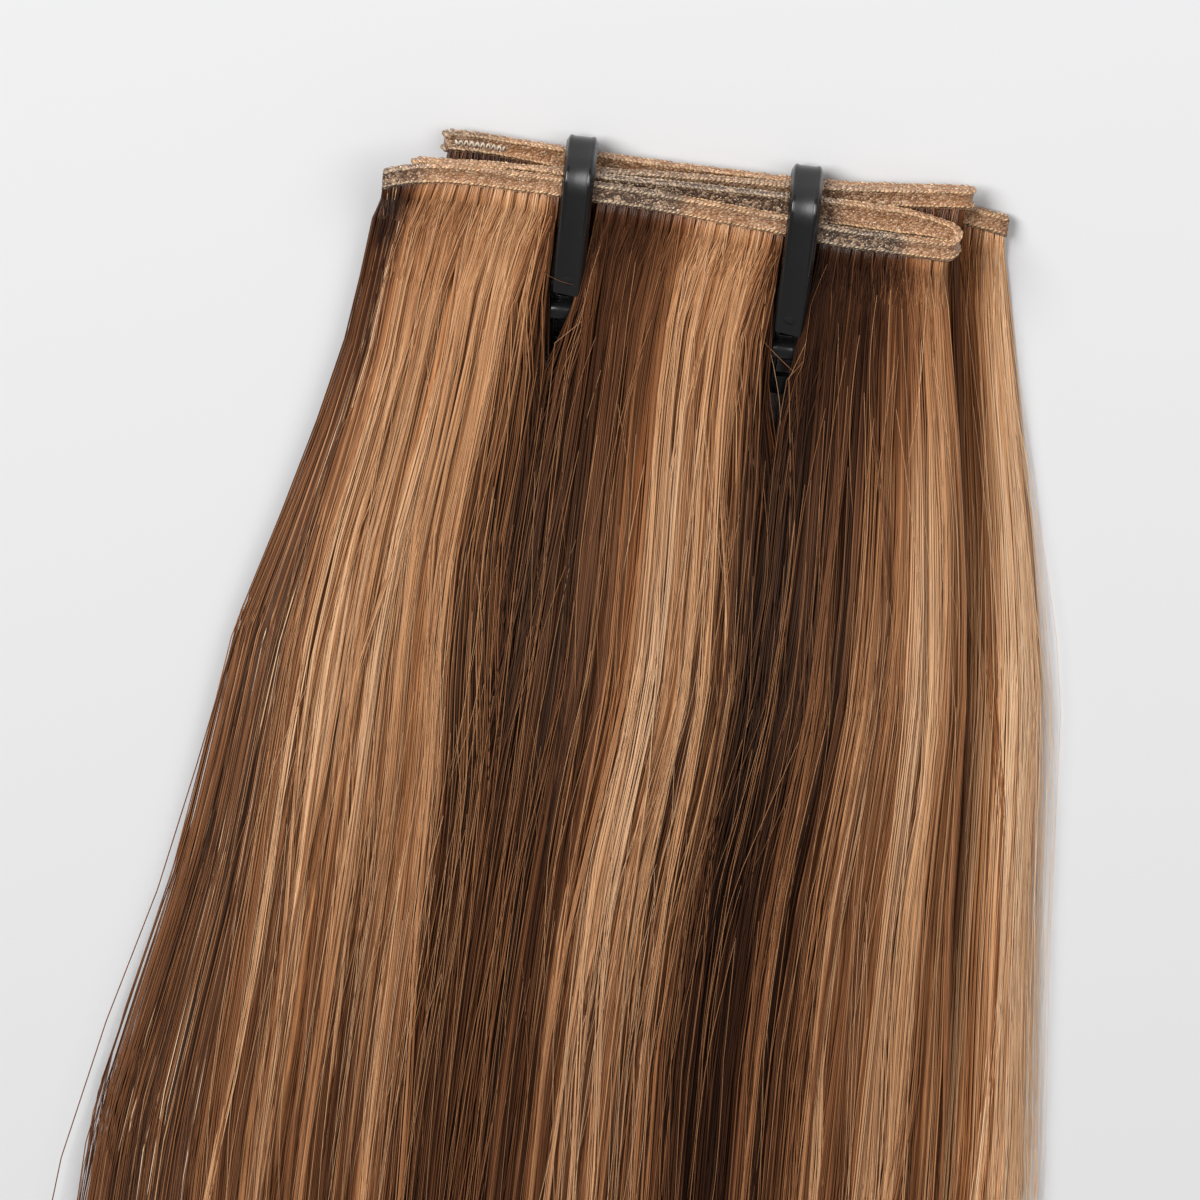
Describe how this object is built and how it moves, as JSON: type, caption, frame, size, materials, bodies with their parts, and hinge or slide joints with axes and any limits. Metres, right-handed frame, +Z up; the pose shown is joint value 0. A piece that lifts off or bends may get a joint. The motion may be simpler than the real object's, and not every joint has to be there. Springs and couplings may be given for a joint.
{
  "type": "weft hair extension with tie clips",
  "caption": "Long hair sewn along a thin coated band that is folded flat into layers, held by black plastic tie clips, lying fanned out on a surface.",
  "frame": {"origin": "on the surface it lies on, under the middle of its bounding box", "axes": "+Z up from the surface, +Y from the hair tips towards the folded band, +X along the band"},
  "size_m": [0.195, 0.5046, 0.0169],
  "materials": {
    "hair": "glossy strands, caramel and dark brown stripes",
    "band": "stitched fabric with a clear glossy coat",
    "clip_plastic": "moulded black, semi-gloss"
  },
  "bodies": {
    "root": {"weft_band": "band", "clip_left": "clip_plastic", "clip_right": "clip_plastic", "hair_layer_1": "hair", "hair_layer_2": "hair", "hair_layer_3": "hair", "hair_layer_4": "hair", "hair_layer_5": "hair"}
  },
  "joints": []
}
